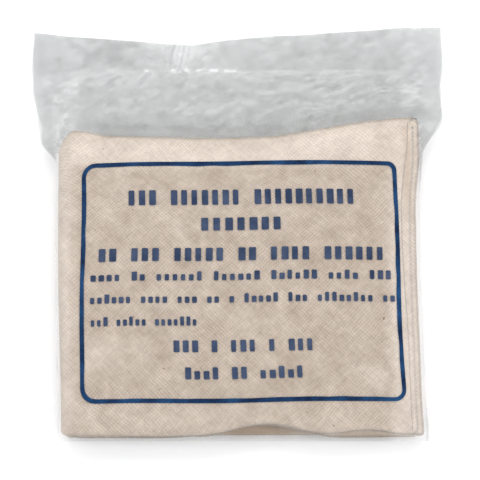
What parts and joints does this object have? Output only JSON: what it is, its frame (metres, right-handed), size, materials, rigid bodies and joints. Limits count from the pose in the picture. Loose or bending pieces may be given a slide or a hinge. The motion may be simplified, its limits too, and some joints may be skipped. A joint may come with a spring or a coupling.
{
  "type": "packed triangular bandage",
  "caption": "Folded muslin triangular bandage, used as an arm sling, in an open clear poly bag with a printed border, and closed safety pins lying in the cloth's fold.",
  "frame": {"origin": "middle of the pack's footprint, on the surface that it lies on", "axes": "+X right across the pack's printed front, +Y from the welded bottom of the bag to its open mouth, +Z out of the printed front"},
  "size_m": [0.1556, 0.157, 0.0179],
  "materials": {
    "muslin": "unbleached plain-weave cotton muslin",
    "clear_film": "clear glossy polyethylene film",
    "blue_ink": "one-colour flexographic print",
    "nickel_plated_steel": "bright nickel-plated steel wire and sheet"
  },
  "bodies": {
    "bag": {"bag_front_film": "clear_film", "bag_back_film": "clear_film", "bag_bottom_weld": "clear_film", "printed_border": "blue_ink"},
    "bandage": {"bandage_back_panel": "muslin", "bandage_tucked_panel": "muslin", "bandage_front_panel": "muslin", "bandage_narrow_fold": "muslin", "bandage_wide_fold": "muslin"},
    "lower_pin": {"lower_pin_back_wire": "nickel_plated_steel", "lower_pin_clasp": "nickel_plated_steel"},
    "lower_pin_arm": {"lower_pin_needle": "nickel_plated_steel"},
    "upper_pin": {"upper_pin_back_wire": "nickel_plated_steel", "upper_pin_clasp": "nickel_plated_steel"},
    "upper_pin_arm": {"upper_pin_needle": "nickel_plated_steel"}
  },
  "joints": [
    {"name": "bandage_slide", "type": "slide", "parent": "bag", "child": "bandage", "axis": [0, 1, 0], "range_m": [0, 0.16]},
    {"name": "lower_pin_slide", "type": "slide", "parent": "bandage", "child": "lower_pin", "axis": [0, 1, 0], "range_m": [0, 0.054]},
    {"name": "lower_pin_open", "type": "hinge", "parent": "lower_pin", "child": "lower_pin_arm", "pos_m": [-0.031, -0.0037, 0.00725], "axis": [0, 0, 1], "range_deg": [0, 40]},
    {"name": "upper_pin_slide", "type": "slide", "parent": "bandage", "child": "upper_pin", "axis": [0, 1, 0], "range_m": [0, 0.054]},
    {"name": "upper_pin_open", "type": "hinge", "parent": "upper_pin", "child": "upper_pin_arm", "pos_m": [-0.052, -0.0037, 0.01025], "axis": [0, 0, -1], "range_deg": [0, 40]}
  ]
}
